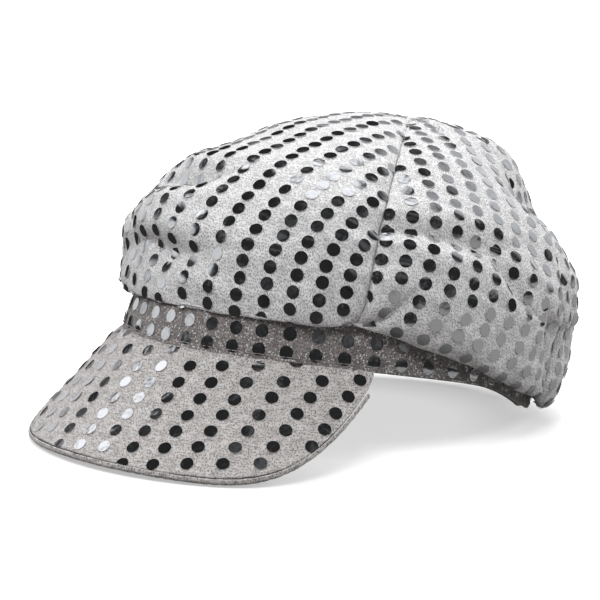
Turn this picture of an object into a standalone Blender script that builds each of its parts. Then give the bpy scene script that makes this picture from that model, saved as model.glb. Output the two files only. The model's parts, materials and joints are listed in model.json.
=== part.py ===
"""Sequinned newsboy party hat: cap crown, band, lining, sweatband and stiffened visor.

The hat is drawn in its own frame, with the front at -Y, the wearer's left at +X and
the band's lower edge near Z = 0, and then set down on its visor edge and band back.
"""
import math

import bmesh
import bpy
from mathutils import Vector

# ---- driving dimensions, metres and degrees -------------------------------------
HEAD_LENGTH = 0.1035         # band's outer half length, front to back, at its lower edge
HEAD_WIDTH = 0.0925          # band's outer half width
BAND_HEIGHT = 0.029
BAND_LEAN = 0.14             # inward lean of the band per metre of height
TEMPLE_ARCH = 0.0065         # rise of the band's lower edge at the temples
CLOTH_GAP = 0.0004           # clearance between neighbouring layers
COVER_CLOTH = 0.0012         # sequinned knit with its fused backing
STIFFENER = 0.0010
SWEATBAND = 0.0012
LINING_CLOTH = 0.0008
ELASTIC = 0.0010

CROWN_FRONT = 0.1045         # widest half length ahead of the middle
CROWN_BACK = 0.1185
CROWN_SIDE = 0.1070
CROWN_WIDEST_HEIGHT = 0.0415
CROWN_WIDEST_SLOPE = 0.0046  # how much higher the widest line is at the front
CROWN_HEIGHT = 0.1260
APEX_BACK = 0.0270           # the four panels meet this far behind the middle
FRONT_SEAM = 48.0            # panel seams, degrees round from the front
BACK_SEAM = 116.0
DROOP_FRONT = 0.0185         # lowest point of the crown's roll over the band
DROOP_SEAM = 0.0225          # the same at the front seams, where the cloth is pulled up
DROOP_BACK = 0.0055
DROOP_SETTLED = 125.0        # degrees from the front where it has reached its lowest
ROLL_SHARE = 0.3             # part of a panel's length that rolls over the band
CROWN_STAND_OFF = 0.0008     # the panels' raw edge stands this far outside the band
ROLL_LEAN = 0.25             # how soon the roll turns outwards as it leaves the band
ROLL_PULL = 0.6              # how hard it is drawn down before it turns up again
ROLL_OVERSHOOT = 0.0012      # the roll's curve is drawn this much lower than its lowest line
FRONT_INWARD, BACK_INWARD = 1.335, 0.742   # how early the crown closes in above its widest line
FRONT_UPWARD, BACK_UPWARD = 1.031, 1.642   # how late it rises: flat in front, full behind

VISOR_DROP = 56.0            # slope of the visor's straight rulings below the band
VISOR_SPREAD = 58.0          # the visor's seam ends this many degrees from the front
VISOR_FLARE = 0.26           # sideways spread of the rulings towards the temples
VISOR_LENGTH = 0.064
VISOR_SQUARE, VISOR_ROUND = 7.0, 0.8   # how late, and how round, the free edge turns in
VISOR_OFFSET = 0.0016        # how far the visor's seam stands outside the band
VISOR_CLOTH = 0.0007
VISOR_BOARD = 0.0010
VISOR_CORNER = 0.004         # what is left of the visor's length at its ends
VISOR_END_TRIM = 0.5         # degrees left off each end of the visor
VISOR_GAP = 0.0003
EDGE_RADIUS = 0.0015         # the turned and stitched free edge
BOARD_START, BOARD_END = 0.05, 0.99    # part of the visor's length that the board fills
UNDER_COVER_START = 0.08

PANEL_GAP = 0.0005           # between neighbouring crown or lining panels
PANEL_TIP = 0.0015           # radius inside which the panels stop narrowing
PANEL_TOP_SHARE = 0.99       # the panels end just short of the point where they meet
LINING_GAP = 0.0008
LINING_ABOVE_BAND = 0.0030
HIDDEN_EDGE = 0.0012         # the stiffener ends this far inside both edges of the band
SWEATBAND_EDGE = 0.0008
SWEATBAND_DEPTH = COVER_CLOTH + STIFFENER + 2 * CLOTH_GAP
ELASTIC_START = 146.0        # the back elastic runs between these two points
ELASTIC_LOW, ELASTIC_HIGH = 0.006, 0.022
ELASTIC_SEAM = 2.0           # degrees between the stiffener's end and the elastic's
LABEL_WIDTH, LABEL_HEIGHT = 0.034, 0.016
LABEL_LOW = 0.009
LABEL_CLOTH = 0.0004

CROWN_COLUMNS = {"front": 16, "left": 11, "back": 17, "right": 11}
LINING_COLUMNS = {"front": 12, "left": 8, "back": 12, "right": 8}
CROWN_ROWS, LINING_ROWS = 16, 10
BAND_DEGREES_PER_COLUMN = 6.0
VISOR_COLUMNS, VISOR_ROWS = 24, 5
EDGE_POINTS = 41
WELD_DISTANCE = 0.00002


# ---- scene, collections and materials -------------------------------------------
def clear_scene():
    for obj in list(bpy.data.objects):
        bpy.data.objects.remove(obj, do_unlink=True)


def new_material(name, colour, roughness, metallic=0.0):
    mat = bpy.data.materials.new(name)
    mat.use_nodes = True
    shader = mat.node_tree.nodes["Principled BSDF"]
    shader.inputs["Base Color"].default_value = (*colour, 1.0)
    shader.inputs["Roughness"].default_value = roughness
    shader.inputs["Metallic"].default_value = metallic
    mat.diffuse_color = (*colour, 1.0)
    return mat


# ---- the hat's own surfaces -----------------------------------------------------
def band_point(angle, out, height):
    """Point `out` metres outside the band's outer face, `height` above its lower edge."""
    reach = out - BAND_LEAN * height
    x = (HEAD_WIDTH + reach) * math.sin(angle)
    y = -(HEAD_LENGTH + reach) * math.cos(angle)
    sharpness = 2 if math.cos(angle) > 0.0 else 6
    z = TEMPLE_ARCH * math.sin(angle) ** sharpness + height
    return Vector((x, y, z))


def backness(angle):
    """0 at the front, 1 at the back."""
    return 0.5 * (1.0 - math.cos(angle))


def mix(front, back, share):
    return front + (back - front) * share


def droop_height(angle):
    """Height of the crown's lowest line over the band."""
    turned = math.degrees(math.acos(math.cos(angle)))
    if turned < FRONT_SEAM:
        return mix(DROOP_FRONT, DROOP_SEAM, (turned / FRONT_SEAM) ** 2)
    share = min((turned - FRONT_SEAM) / (DROOP_SETTLED - FRONT_SEAM), 1.0)
    return mix(DROOP_SEAM, DROOP_BACK, share * share * (3.0 - 2.0 * share))


def widest_point(angle):
    reach = CROWN_FRONT if math.cos(angle) > 0.0 else CROWN_BACK
    height = CROWN_WIDEST_HEIGHT + CROWN_WIDEST_SLOPE * math.cos(angle)
    return Vector((CROWN_SIDE * math.sin(angle), -reach * math.cos(angle), height))


def crown_point(angle, share):
    """Crown surface: share 0 at the band seam, ROLL_SHARE at the widest line, 1 at the top."""
    widest = widest_point(angle)
    back = backness(angle)
    if share < ROLL_SHARE:
        t = share / ROLL_SHARE
        start = band_point(angle, CROWN_STAND_OFF, BAND_HEIGHT)
        droop = droop_height(angle) - ROLL_OVERSHOOT
        fall = start + (widest - start) * ROLL_LEAN
        fall.z = droop - ROLL_PULL * (start.z - droop)
        rise = widest.copy()
        rise.z = droop
        return (start * (1 - t) ** 3 + fall * 3 * t * (1 - t) ** 2
                + rise * 3 * t * t * (1 - t) + widest * t ** 3)
    turn = (share - ROLL_SHARE) / (1.0 - ROLL_SHARE) * math.pi / 2.0
    inward = max(math.cos(turn), 0.0) ** mix(FRONT_INWARD, BACK_INWARD, back)
    upward = math.sin(turn) ** mix(FRONT_UPWARD, BACK_UPWARD, back)
    x = widest.x * inward
    y = APEX_BACK + (widest.y - APEX_BACK) * inward
    z = widest.z + (CROWN_HEIGHT - widest.z) * upward
    return Vector((x, y, z))


def visor_seam(angle):
    return band_point(angle, VISOR_OFFSET, 0.0)


def visor_angle(u):
    """Angle of a visor column, u from 0 to 1, with the columns closer near the ends."""
    return math.radians(VISOR_SPREAD - VISOR_END_TRIM) * math.sin((2 * u - 1) * math.pi / 2)


def visor_reach(angle):
    """Length of the visor along its ruling: near full in front, a corner at the temples."""
    share = min(abs(angle) / math.radians(VISOR_SPREAD), 1.0)
    taper = (1.0 - share ** VISOR_SQUARE) ** VISOR_ROUND
    return VISOR_CORNER + (VISOR_LENGTH - VISOR_CORNER) * taper


def visor_point(angle, share):
    """Visor surface: share 0 on the band seam, 1 on the free edge."""
    drop = math.radians(VISOR_DROP)
    along = Vector((VISOR_FLARE * math.sin(angle), -math.cos(drop), -math.sin(drop)))
    return visor_seam(angle) + along * (visor_reach(angle) * share)


def visor_outward(angle):
    """Unit direction square to the free edge, in the visor's surface, pointing off it."""
    step = math.radians(VISOR_END_TRIM)
    edge_run = visor_point(angle + step, 1.0) - visor_point(angle - step, 1.0)
    return edge_run.cross(visor_normal(angle)).normalized()


def visor_normal(angle):
    """Unit normal of the visor's upper face, pointing forwards and up."""
    step = math.radians(VISOR_END_TRIM)
    sideways = visor_seam(angle + step) - visor_seam(angle - step)
    towards_seam = visor_point(angle, 0.0) - visor_point(angle, 1.0)
    return sideways.cross(towards_seam).normalized()


# ---- building -------------------------------------------------------------------
def sheet_mesh(name, across, along, place, inset=0.0, origin=Vector()):
    """A grid moved onto place(u, v), u and v from 0 to 1, then sunk by inset."""
    bm = bmesh.new()
    bmesh.ops.create_grid(bm, x_segments=across, y_segments=along, size=0.5)
    for vert in bm.verts:
        vert.co = place(vert.co.x + 0.5, vert.co.y + 0.5)
    bmesh.ops.remove_doubles(bm, verts=bm.verts, dist=WELD_DISTANCE)
    bm.normal_update()
    sunk = [vert.co - vert.normal * inset - origin for vert in bm.verts]
    for vert, place_now in zip(bm.verts, sunk):
        vert.co = place_now
    mesh = bpy.data.meshes.new(name)
    bm.to_mesh(mesh)
    bm.free()
    return mesh


def add_piece(name, mesh, material, parent, thickness=None):
    """Link a mesh under its parent empty, with its thickness inwards from the surface."""
    obj = bpy.data.objects.new(name, mesh)
    obj.parent = parent
    mesh.materials.append(material)
    mesh.shade_smooth()
    hat_collection.objects.link(obj)
    if thickness:
        solid = obj.modifiers.new("thickness", "SOLIDIFY")
        solid.thickness = thickness
        solid.offset = -1.0
        solid.use_even_offset = True
    return obj


def panel_angles(first, last, gap):
    """Angle of a panel's column, trimmed so that neighbouring panels keep their gap."""
    def angle(u, share):
        trim = 0.5 * gap / max(crown_radius(share), PANEL_TIP)
        start, end = math.radians(first) + trim, math.radians(last) - trim
        return start + (end - start) * u
    return angle


def crown_radius(share):
    """Rough distance from the crown's axis, for trimming the panels."""
    if share <= ROLL_SHARE:
        return HEAD_WIDTH
    return HEAD_WIDTH * max(math.cos((share - ROLL_SHARE) / (1 - ROLL_SHARE) * math.pi / 2), 0.0)


def lining_point(angle, share):
    """The lining runs straight from the band's top edge, then close under the crown."""
    top = crown_point(angle, max(share, ROLL_SHARE))
    if share >= ROLL_SHARE:
        return top
    start = band_point(angle, -COVER_CLOTH, BAND_HEIGHT + LINING_ABOVE_BAND)
    return start + (top - start) * (share / ROLL_SHARE)


def make_panels(prefix, surface, across, along, inset, thickness, gap, material):
    """Four panels from seam to seam: front, left, back and right."""
    spans = {
        "front": (-FRONT_SEAM, FRONT_SEAM),
        "left": (FRONT_SEAM, BACK_SEAM),
        "back": (BACK_SEAM, 360.0 - BACK_SEAM),
        "right": (360.0 - BACK_SEAM, 360.0 - FRONT_SEAM),
    }
    for side, (first, last) in spans.items():
        angle = panel_angles(first, last, gap)

        def place(u, v, angle=angle):
            share = v * PANEL_TOP_SHARE
            return surface(angle(u, share), share)

        mesh = sheet_mesh(f"{prefix}_{side}_panel", across[side], along, place, inset)
        add_piece(f"{prefix}_{side}_panel", mesh, material, hat, thickness)


def make_band_layer(name, depth, thickness, low, high, material, first=0.0, last=360.0):
    """A strip round the head at one depth inside the band's outer face."""
    steps = round((last - first) / BAND_DEGREES_PER_COLUMN)

    def place(u, v):
        angle = math.radians(first + (last - first) * u)
        return band_point(angle, -depth, low + (high - low) * v)

    mesh = sheet_mesh(name, steps, 2, place)
    return add_piece(name, mesh, material, hat, thickness)


def make_visor_layer(name, inset, thickness, first_share, last_share, material):
    """One layer of the visor, curved side to side and straight along its rulings."""
    def place(u, v):
        share = last_share + (first_share - last_share) * v
        return visor_point(visor_angle(u), share)

    mesh = sheet_mesh(name, VISOR_COLUMNS, VISOR_ROWS, place, inset, hinge_place)
    return add_piece(name, mesh, material, visor_hinge, thickness)


def make_visor_edge(name, material):
    """The covers' turned seam: a firm bead right round the visor's free edge."""
    curve = bpy.data.curves.new(name, "CURVE")
    curve.dimensions = "3D"
    curve.bevel_depth = EDGE_RADIUS
    curve.bevel_resolution = 1
    curve.use_fill_caps = True
    spline = curve.splines.new("POLY")
    spline.points.add(EDGE_POINTS - 1)
    half_depth = (2 * VISOR_CLOTH + VISOR_BOARD + 2 * VISOR_GAP) / 2
    for index, point in enumerate(spline.points):
        angle = visor_angle(index / (EDGE_POINTS - 1))
        place = visor_point(angle, 1.0) + visor_outward(angle) * (EDGE_RADIUS + 2 * VISOR_GAP)
        place -= visor_normal(angle) * half_depth + hinge_place
        point.co = (*place, 1.0)
    obj = bpy.data.objects.new(name, curve)
    obj.parent = visor_hinge
    curve.materials.append(material)
    hat_collection.objects.link(obj)
    return obj


def make_label(name, material):
    """A blank folded label, sewn in behind the sweatband at the wearer's back."""
    def place(u, v):
        angle = math.pi + (u - 0.5) * LABEL_WIDTH / HEAD_LENGTH
        depth = SWEATBAND_DEPTH + SWEATBAND + CLOTH_GAP
        return band_point(angle, -depth, LABEL_LOW + LABEL_HEIGHT * v)

    mesh = sheet_mesh(name, 6, 3, place)
    return add_piece(name, mesh, material, hat, LABEL_CLOTH)


def stand_on_floor():
    """Put the middle of the whole hat's box over the origin, with its lowest point at 0."""
    bpy.context.view_layer.update()
    graph = bpy.context.evaluated_depsgraph_get()
    corners = []
    for obj in hat_collection.objects:
        if obj.type == "EMPTY":
            continue
        shape = obj.evaluated_get(graph)
        mesh = shape.to_mesh()
        corners += [shape.matrix_world @ vert.co for vert in mesh.vertices]
        shape.to_mesh_clear()
    low = [min(corner[i] for corner in corners) for i in range(3)]
    high = [max(corner[i] for corner in corners) for i in range(3)]
    hat.location -= Vector(((low[0] + high[0]) / 2, (low[1] + high[1]) / 2, low[2]))


# ---- the hat --------------------------------------------------------------------
clear_scene()
hat_collection = bpy.data.collections.new("new_year_party_hat")
bpy.context.scene.collection.children.link(hat_collection)

sequin_knit = new_material("sequin_knit", (0.62, 0.60, 0.59), 0.45, 0.35)
lining_satin = new_material("lining_satin", (0.50, 0.50, 0.52), 0.45)
buckram = new_material("buckram", (0.85, 0.84, 0.80), 0.9)
sweatband_tape = new_material("sweatband_tape", (0.30, 0.30, 0.32), 0.8)
elastic_tape = new_material("elastic_tape", (0.82, 0.82, 0.80), 0.8)
visor_plastic = new_material("visor_plastic", (0.80, 0.80, 0.80), 0.5)
label_satin = new_material("label_satin", (0.90, 0.90, 0.88), 0.5)

# The hat leans back on its band: visor edge and band back both touch the floor.
drop = math.radians(VISOR_DROP)
full_length = VISOR_LENGTH + 2 * EDGE_RADIUS + 2 * VISOR_GAP
full_depth = 2 * VISOR_CLOTH + VISOR_BOARD + 2 * VISOR_GAP
visor_tip_drop = full_length * math.sin(drop) + full_depth * math.cos(drop)
visor_tip_ahead = full_length * math.cos(drop) - full_depth * math.sin(drop)
pitch = math.atan2(visor_tip_drop, 2 * HEAD_LENGTH + visor_tip_ahead)
hat = bpy.data.objects.new("hat_frame", None)
hat.rotation_euler = (-pitch, 0.0, 0.0)
hat_collection.objects.link(hat)

# The visor bends about the straight line through the two ends of its seam.
hinge_place = visor_seam(math.radians(VISOR_SPREAD))
hinge_place.x = 0.0
visor_hinge = bpy.data.objects.new("visor_hinge", None)
visor_hinge.parent = hat
visor_hinge.location = hinge_place
hat_collection.objects.link(visor_hinge)

make_panels("crown", crown_point, CROWN_COLUMNS, CROWN_ROWS, 0.0, COVER_CLOTH, PANEL_GAP,
            sequin_knit)
make_panels("lining", lining_point, LINING_COLUMNS, LINING_ROWS, COVER_CLOTH + LINING_GAP,
            LINING_CLOTH, 2 * PANEL_GAP, lining_satin)

make_band_layer("band_cover", 0.0, COVER_CLOTH, 0.0, BAND_HEIGHT - CLOTH_GAP, sequin_knit)
stiffener_depth = COVER_CLOTH + CLOTH_GAP
make_band_layer("band_stiffener", stiffener_depth, STIFFENER, HIDDEN_EDGE,
                BAND_HEIGHT - HIDDEN_EDGE, buckram, ELASTIC_SEAM - ELASTIC_START,
                ELASTIC_START - ELASTIC_SEAM)
make_band_layer("back_elastic", stiffener_depth, ELASTIC, ELASTIC_LOW, ELASTIC_HIGH, elastic_tape,
                ELASTIC_START, 360.0 - ELASTIC_START)
make_band_layer("sweatband", SWEATBAND_DEPTH, SWEATBAND, SWEATBAND_EDGE,
                BAND_HEIGHT - SWEATBAND_EDGE, sweatband_tape)
make_label("care_label", label_satin)

make_visor_layer("visor_top_cover", 0.0, VISOR_CLOTH, 0.0, 1.0, sequin_knit)
make_visor_layer("visor_board", VISOR_CLOTH + VISOR_GAP, VISOR_BOARD, BOARD_START, BOARD_END,
                 visor_plastic)
make_visor_layer("visor_under_cover", VISOR_CLOTH + VISOR_BOARD + 2 * VISOR_GAP, VISOR_CLOTH,
                 UNDER_COVER_START, 1.0, sequin_knit)
make_visor_edge("visor_edge_seam", sequin_knit)

stand_on_floor()
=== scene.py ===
"""Looks of the sequinned newsboy party hat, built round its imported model."""
import json
import math
import random

import bmesh
import bpy
from mathutils import Matrix, Vector, noise
from mathutils.bvhtree import BVHTree


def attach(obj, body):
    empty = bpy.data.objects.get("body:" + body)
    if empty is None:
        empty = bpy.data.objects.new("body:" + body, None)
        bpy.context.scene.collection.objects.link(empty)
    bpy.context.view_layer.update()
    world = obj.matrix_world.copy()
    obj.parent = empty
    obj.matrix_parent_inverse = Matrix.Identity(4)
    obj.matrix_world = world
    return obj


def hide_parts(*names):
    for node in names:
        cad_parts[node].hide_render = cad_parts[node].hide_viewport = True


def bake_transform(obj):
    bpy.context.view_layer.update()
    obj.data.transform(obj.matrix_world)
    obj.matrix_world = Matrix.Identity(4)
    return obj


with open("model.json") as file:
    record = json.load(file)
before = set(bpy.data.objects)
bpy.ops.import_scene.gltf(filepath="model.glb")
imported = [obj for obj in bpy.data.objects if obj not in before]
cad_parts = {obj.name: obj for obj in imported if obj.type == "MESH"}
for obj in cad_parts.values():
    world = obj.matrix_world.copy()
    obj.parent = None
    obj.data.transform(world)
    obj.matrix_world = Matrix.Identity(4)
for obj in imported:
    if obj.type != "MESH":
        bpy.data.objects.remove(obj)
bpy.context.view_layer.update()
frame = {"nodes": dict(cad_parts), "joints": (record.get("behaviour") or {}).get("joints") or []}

# ---- Silver knit -------------------------------------------------------------------
# All the covers are cut from one warp-knitted cloth: pale grey polyester with a flat metallic
# yarn floated through it, which shows as short dark dashes and as pin-point glints. The glints
# are painted highlights: white in the base colour, with only a part metallic share.
KNIT_PALE, KNIT_SHADE, YARN_DARK = (0.73, 0.725, 0.73), (0.49, 0.485, 0.49), (0.22, 0.22, 0.225)
LOOPS_ACROSS, LOOPS_ALONG, SLUBS = 1150.0, 620.0, 240.0     # to the metre of cloth
# The glints' white is a painted highlight, set in the knit's base colour.
PAINTED_GLINT_WHITE, GLINT_METAL = (0.95, 0.95, 0.96, 1.0), 0.45


def wire(tree, made, sockets):
    """Give each named socket a plain value, or the output of another node."""
    for name, value in sockets.items():
        if isinstance(value, bpy.types.NodeSocket):
            tree.links.new(value, made.inputs[name])
        else:
            made.inputs[name].default_value = value


def node(tree, kind, place, sockets=None, **settings):
    made = tree.nodes.new(kind)
    made.location = place
    for name, value in settings.items():
        setattr(made, name, value)
    wire(tree, made, sockets or {})
    return made


def new_group(name, sockets):
    group = bpy.data.node_groups.new(name, "ShaderNodeTree")
    for label, way, kind in sockets:
        group.interface.new_socket(label, in_out=way, socket_type=f"NodeSocket{kind}")
    return group


def new_material(name):
    mat = bpy.data.materials.new(name)
    mat.use_nodes = True
    return mat, mat.node_tree, mat.node_tree.nodes["Principled BSDF"]


def build_knit_group():
    """Outputs the knit's colour, roughness, metallic share and normal for a flat cut in metres."""
    group = new_group("sparkling_knit", (
        ("Pale", "INPUT", "Color"), ("Shade", "INPUT", "Color"), ("Yarn", "INPUT", "Color"),
        ("Sparkle", "INPUT", "Float"), ("Color", "OUTPUT", "Color"),
        ("Roughness", "OUTPUT", "Float"), ("Metallic", "OUTPUT", "Float"),
        ("Normal", "OUTPUT", "Vector")))
    given = node(group, "NodeGroupInput", (-1500, 0)).outputs
    cut = node(group, "ShaderNodeUVMap", (-1500, -300), uv_map="flat_cut").outputs["UV"]

    # One dash of dark yarn to each loop, 0.9 mm wide and 1.6 mm long; one in eight is hidden.
    loops = node(group, "ShaderNodeVectorMath", (-1250, -300),
                 {0: cut, 1: (LOOPS_ACROSS, LOOPS_ALONG, 1.0)}, operation="MULTIPLY")
    dashes = node(group, "ShaderNodeTexVoronoi", (-1000, -100),
                  {"Vector": loops.outputs[0], "Scale": 1.0, "Randomness": 0.75},
                  voronoi_dimensions="2D", feature="F1", distance="CHEBYCHEV")
    dash = node(group, "ShaderNodeMapRange", (-760, -40),
                {"Value": dashes.outputs["Distance"], "From Min": 0.14, "From Max": 0.27,
                 "To Min": 1.0, "To Max": 0.0})
    chance = node(group, "ShaderNodeSeparateColor", (-760, -260), {0: dashes.outputs["Color"]})
    shown = node(group, "ShaderNodeMath", (-560, -260), {0: chance.outputs[0], 1: 0.12},
                 operation="GREATER_THAN")
    dark = node(group, "ShaderNodeMath", (-380, -100),
                {0: dash.outputs["Result"], 1: shown.outputs[0]}, operation="MULTIPLY")

    # Slubs and handling marks over a few millimetres, so the cloth is never one flat tone.
    slubs = node(group, "ShaderNodeTexNoise", (-1000, -520),
                 {"Vector": cut, "Scale": SLUBS, "Detail": 4.0})
    yarn_tone = node(group, "ShaderNodeTexNoise", (-1000, -760),
                     {"Vector": cut, "Scale": LOOPS_ACROSS, "Detail": 2.0})
    tones = node(group, "ShaderNodeMath", (-780, -620),
                 {0: slubs.outputs["Fac"], 1: yarn_tone.outputs["Fac"]}, operation="ADD")
    tone = node(group, "ShaderNodeMapRange", (-580, -620),
                {"Value": tones.outputs[0], "From Min": 0.78, "From Max": 1.16})
    ground = node(group, "ShaderNodeMix", (-360, -420), data_type="RGBA")
    wire(group, ground, {"Factor": tone.outputs["Result"], "A": given["Shade"], "B": given["Pale"]})
    with_yarn = node(group, "ShaderNodeMix", (-140, -300), data_type="RGBA")
    wire(group, with_yarn, {"Factor": dark.outputs[0], "A": ground.outputs["Result"],
                            "B": given["Yarn"]})

    # Glints: bits of the metallic yarn that lie flat, each turned its own way. Their white is a
    # painted highlight in the base colour, bright under any light; a metallic share and a tilt
    # of the normal add a real reflection.
    specks = node(group, "ShaderNodeTexVoronoi", (-1000, 260),
                  {"Vector": cut, "Scale": LOOPS_ACROSS}, voronoi_dimensions="2D", feature="F1")
    speck = node(group, "ShaderNodeSeparateColor", (-780, 300), {0: specks.outputs["Color"]})
    bright = node(group, "ShaderNodeMath", (-580, 300),
                  {0: speck.outputs[1], 1: given["Sparkle"]}, operation="LESS_THAN")
    small = node(group, "ShaderNodeMath", (-580, 120),
                 {0: specks.outputs["Distance"], 1: 0.42}, operation="LESS_THAN")
    glint = node(group, "ShaderNodeMath", (-380, 240),
                 {0: bright.outputs[0], 1: small.outputs[0]}, operation="MULTIPLY").outputs[0]
    # Painted highlight: the glint spots take white as their base colour.
    colour = node(group, "ShaderNodeMix", (120, -200), data_type="RGBA")
    wire(group, colour, {"Factor": glint, "A": with_yarn.outputs["Result"], "B": PAINTED_GLINT_WHITE})
    shine = node(group, "ShaderNodeMath", (120, 300), {0: glint, 1: GLINT_METAL},
                 operation="MULTIPLY")
    rough = node(group, "ShaderNodeMapRange", (120, 100),
                 {"Value": glint, "To Min": 0.72, "To Max": 0.16})

    # The loops' relief, and the tilt of each glint.
    relief = node(group, "ShaderNodeMath", (-140, -640),
                  {0: yarn_tone.outputs["Fac"], 1: dark.outputs[0]}, operation="SUBTRACT")
    bump = node(group, "ShaderNodeBump", (120, -600),
                {"Height": relief.outputs[0], "Strength": 0.5, "Distance": 0.0004})
    centred = node(group, "ShaderNodeVectorMath", (-380, 480),
                   {0: specks.outputs["Color"], 1: (0.5, 0.5, 0.5)}, operation="SUBTRACT")
    tilt = node(group, "ShaderNodeVectorMath", (-160, 480),
                {0: centred.outputs[0], "Scale": glint}, operation="SCALE")
    leaned = node(group, "ShaderNodeVectorMath", (360, -400),
                  {0: bump.outputs["Normal"], 1: tilt.outputs[0]}, operation="ADD")
    unit = node(group, "ShaderNodeVectorMath", (560, -400), {0: leaned.outputs[0]},
                operation="NORMALIZE")
    node(group, "NodeGroupOutput", (900, 0),
         {"Color": colour.outputs["Result"], "Roughness": rough.outputs["Result"],
          "Metallic": shine.outputs[0], "Normal": unit.outputs[0]})
    return group


knit_group = build_knit_group()


def knit_material(name, pale, shade, yarn, sparkle):
    mat, tree, shader = new_material(name)
    knit = node(tree, "ShaderNodeGroup", (-400, 0), node_tree=knit_group)
    wire(tree, knit, {"Pale": (*pale, 1.0), "Shade": (*shade, 1.0), "Yarn": (*yarn, 1.0),
                      "Sparkle": sparkle})
    wire(tree, shader, {"Base Color": knit.outputs["Color"],
                        "Roughness": knit.outputs["Roughness"],
                        "Metallic": knit.outputs["Metallic"], "Normal": knit.outputs["Normal"],
                        "Sheen Weight": 0.25, "Sheen Roughness": 0.4})
    return mat


sequin_knit = knit_material("sequin_knit", KNIT_PALE, KNIT_SHADE, YARN_DARK, 0.10)


# Each piece of cloth is cut flat and then sewn into its curved place. The flat cut is kept
# as the UV map, in metres, so the knit and the rows of sequins run with the thread.
def cut_cloth(name, place, cut, across, along, thickness, material, closed=False):
    """A sheet through place(u, v), whose flat cut is cut(u, v), with its thickness inwards."""
    columns = across if closed else across + 1
    bm = bmesh.new()
    flat = bm.loops.layers.uv.new("flat_cut")
    rows = []
    for j in range(along + 1):
        rows.append([bm.verts.new(place(i / across, j / along)) for i in range(columns)])
    for j in range(along):
        for i in range(across):
            k = (i + 1) % columns
            face = bm.faces.new((rows[j][i], rows[j][k], rows[j + 1][k], rows[j + 1][i]))
            face.smooth = True
            spots = ((i, j), (i + 1, j), (i + 1, j + 1), (i, j + 1))
            for loop, (a, b) in zip(face.loops, spots):
                loop[flat].uv = cut(a / across, b / along)
    bm.normal_update()
    mesh = bpy.data.meshes.new(name)
    bm.to_mesh(mesh)
    bm.free()
    piece = bpy.data.objects.new(name, mesh)
    bpy.context.scene.collection.objects.link(piece)
    mesh.materials.append(material)
    solid = piece.modifiers.new("cloth", "SOLIDIFY")
    solid.thickness = thickness
    solid.offset = -1.0
    return piece


def declare_sheet(piece):
    """Gathers the flat cut's spots from the cloth's own UV map; nothing more is done with them."""
    spots = [Vector(loop.uv) for loop in piece.data.uv_layers["flat_cut"].data]

# ---- Sequins -----------------------------------------------------------------------
# Flat 6 mm discs punched from metallised film, glued face up in straight rows: 13 mm from
# row to row and 8.3 mm along a row. Each sits a little askew, and bends where cloth does.
SEQUIN_RADIUS, SEQUIN_THICK = 0.0030, 0.00018
ROW_STEP, SEQUIN_STEP = 0.0130, 0.0083
SEQUIN_LIFT = 0.00035
sequin_draw = random.Random(1231)


def sequin_foil_material():
    mat, tree, shader = new_material("sequin_foil")
    spot = node(tree, "ShaderNodeTexCoord", (-1100, 0)).outputs["Object"]
    cloudy = node(tree, "ShaderNodeTexNoise", (-880, 100),
                  {"Vector": spot, "Scale": 900.0, "Detail": 3.0})
    tint = node(tree, "ShaderNodeMix", (-400, 200), data_type="RGBA")
    wire(tree, tint, {"Factor": cloudy.outputs["Fac"], "A": (0.80, 0.81, 0.84, 1.0),
                      "B": (0.93, 0.93, 0.94, 1.0)})
    rough = node(tree, "ShaderNodeMapRange", (-400, -60),
                 {"Value": cloudy.outputs["Fac"], "To Min": 0.05, "To Max": 0.16})
    # Film is never quite flat: a slow ripple breaks up what it mirrors.
    ripple = node(tree, "ShaderNodeTexNoise", (-880, -300),
                  {"Vector": spot, "Scale": 260.0, "Detail": 1.0})
    bump = node(tree, "ShaderNodeBump", (-400, -300),
                {"Height": ripple.outputs["Fac"], "Strength": 0.35, "Distance": 0.0004})
    wire(tree, shader, {"Base Color": tint.outputs["Result"], "Metallic": 1.0,
                        "Roughness": rough.outputs["Result"], "Coat Weight": 0.3,
                        "Coat Roughness": 0.03, "Normal": bump.outputs["Normal"]})
    return mat


sequin_foil = sequin_foil_material()


class FlatCut:
    """Finds where a spot of the flat cut lies on the sewn cloth."""

    def __init__(self, piece):
        mesh = piece.data
        flat = mesh.uv_layers["flat_cut"].data
        self.spots, self.points, self.faces = [], [], []
        for face in mesh.polygons:
            start = len(self.spots)
            for index in face.loop_indices:
                self.spots.append(Vector((*flat[index].uv, 0.0)))
                self.points.append(mesh.vertices[mesh.loops[index].vertex_index].co.copy())
            for k in range(1, len(face.loop_indices) - 1):
                self.faces.append((start, start + k, start + k + 1))
        self.tree = BVHTree.FromPolygons(self.spots, self.faces)

    def held(self, across, along):
        """The nearest spot that is still cloth, and how far off it was."""
        found, _, index, off = self.tree.find_nearest(Vector((across, along, 0.0)))
        return found, index, off

    def point(self, across, along):
        """The place on the cloth, or None where the spot falls outside the cut."""
        found, index, off = self.held(across, along)
        if index is None or off > 0.0002:
            return None
        a, b, c = self.faces[index]
        p, q, r = self.spots[a], self.spots[b], self.spots[c]
        whole = (q - p).cross(r - p).z
        if abs(whole) < 1e-14:
            return None
        share_q = (found - p).cross(r - p).z / whole
        share_r = (q - p).cross(found - p).z / whole
        first = self.points[a]
        return first + (self.points[b] - first) * share_q + (self.points[c] - first) * share_r


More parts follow.
